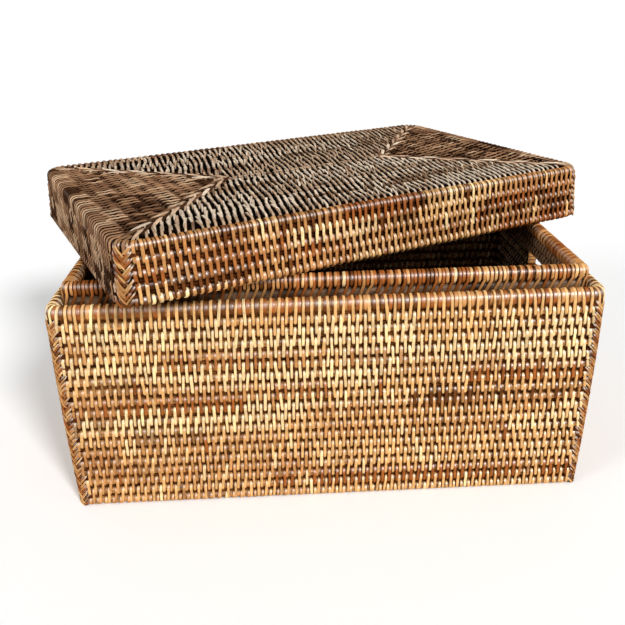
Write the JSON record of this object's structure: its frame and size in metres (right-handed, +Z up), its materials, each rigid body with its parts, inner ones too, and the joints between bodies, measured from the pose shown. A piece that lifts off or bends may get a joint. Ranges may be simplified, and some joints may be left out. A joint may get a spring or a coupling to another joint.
{
  "type": "lidded rattan box",
  "caption": "Rectangular storage box of lashed rattan rod courses with a wrapped border, an inner lip, a hand hole in each end and a loose lid lying askew across the lip.",
  "frame": {"origin": "middle of the underside of the box", "axes": "+X along the box's long side to the right, +Y from the front wall to the back wall, +Z up"},
  "size_m": [0.5336, 0.4502, 0.2664],
  "materials": {
    "wall_rattan": "varnished honey rattan",
    "rim_rattan": "varnished red-brown and honey rattan",
    "inner_rattan": "dark stained rattan",
    "lid_rattan": "varnished brown and honey rattan",
    "lid_top_rattan": "satin weathered rattan"
  },
  "bodies": {
    "box": {"floor_course_01": "inner_rattan", "floor_course_02": "inner_rattan", "floor_course_03": "inner_rattan", "floor_course_04": "inner_rattan", "floor_course_05": "inner_rattan", "floor_course_06": "inner_rattan", "floor_course_07": "inner_rattan", "floor_course_08": "inner_rattan", "floor_course_09": "inner_rattan", "floor_course_10": "inner_rattan", "floor_course_11": "inner_rattan", "floor_course_12": "inner_rattan", "floor_centre_bar": "inner_rattan", "wall_course_01": "wall_rattan", "wall_course_02": "wall_rattan", "wall_course_03": "wall_rattan", "wall_course_04": "wall_rattan", "wall_course_05": "wall_rattan", "wall_course_06": "wall_rattan", "wall_course_07": "wall_rattan", "wall_course_08": "wall_rattan", "wall_course_09": "wall_rattan", "wall_course_10": "wall_rattan", "wall_course_11": "wall_rattan", "wall_course_12": "wall_rattan", "wall_course_13": "wall_rattan", "wall_course_14": "wall_rattan", "wall_course_15": "wall_rattan", "wall_course_16_front": "wall_rattan", "wall_course_16_back": "wall_rattan", "wall_course_17_front": "wall_rattan", "wall_course_17_back": "wall_rattan", "wall_course_18_front": "wall_rattan", "wall_course_18_back": "wall_rattan", "border_roll": "rim_rattan", "lip_top_roll": "rim_rattan", "lip_middle_rod": "inner_rattan", "lip_lower_rod": "inner_rattan", "handle_frame_left": "inner_rattan", "handle_frame_right": "inner_rattan"},
    "lid": {"lid_skirt_course_01": "lid_rattan", "lid_skirt_course_02": "lid_rattan", "lid_skirt_course_03": "lid_rattan", "lid_skirt_course_04": "lid_rattan", "lid_skirt_course_05": "lid_rattan", "lid_top_course_01": "lid_top_rattan", "lid_top_course_02": "lid_top_rattan", "lid_top_course_03": "lid_top_rattan", "lid_top_course_04": "lid_top_rattan", "lid_top_course_05": "lid_top_rattan", "lid_top_course_06": "lid_top_rattan", "lid_top_course_07": "lid_top_rattan", "lid_top_course_08": "lid_top_rattan", "lid_top_course_09": "lid_top_rattan", "lid_top_course_10": "lid_top_rattan", "lid_top_course_11": "lid_top_rattan", "lid_top_course_12": "lid_top_rattan", "lid_top_centre_bar": "lid_top_rattan"}
  },
  "joints": [
    {"name": "lid_lift", "type": "slide", "parent": "box", "child": "lid", "axis": [0, 0, 1], "range_m": [0, 0.25]}
  ]
}
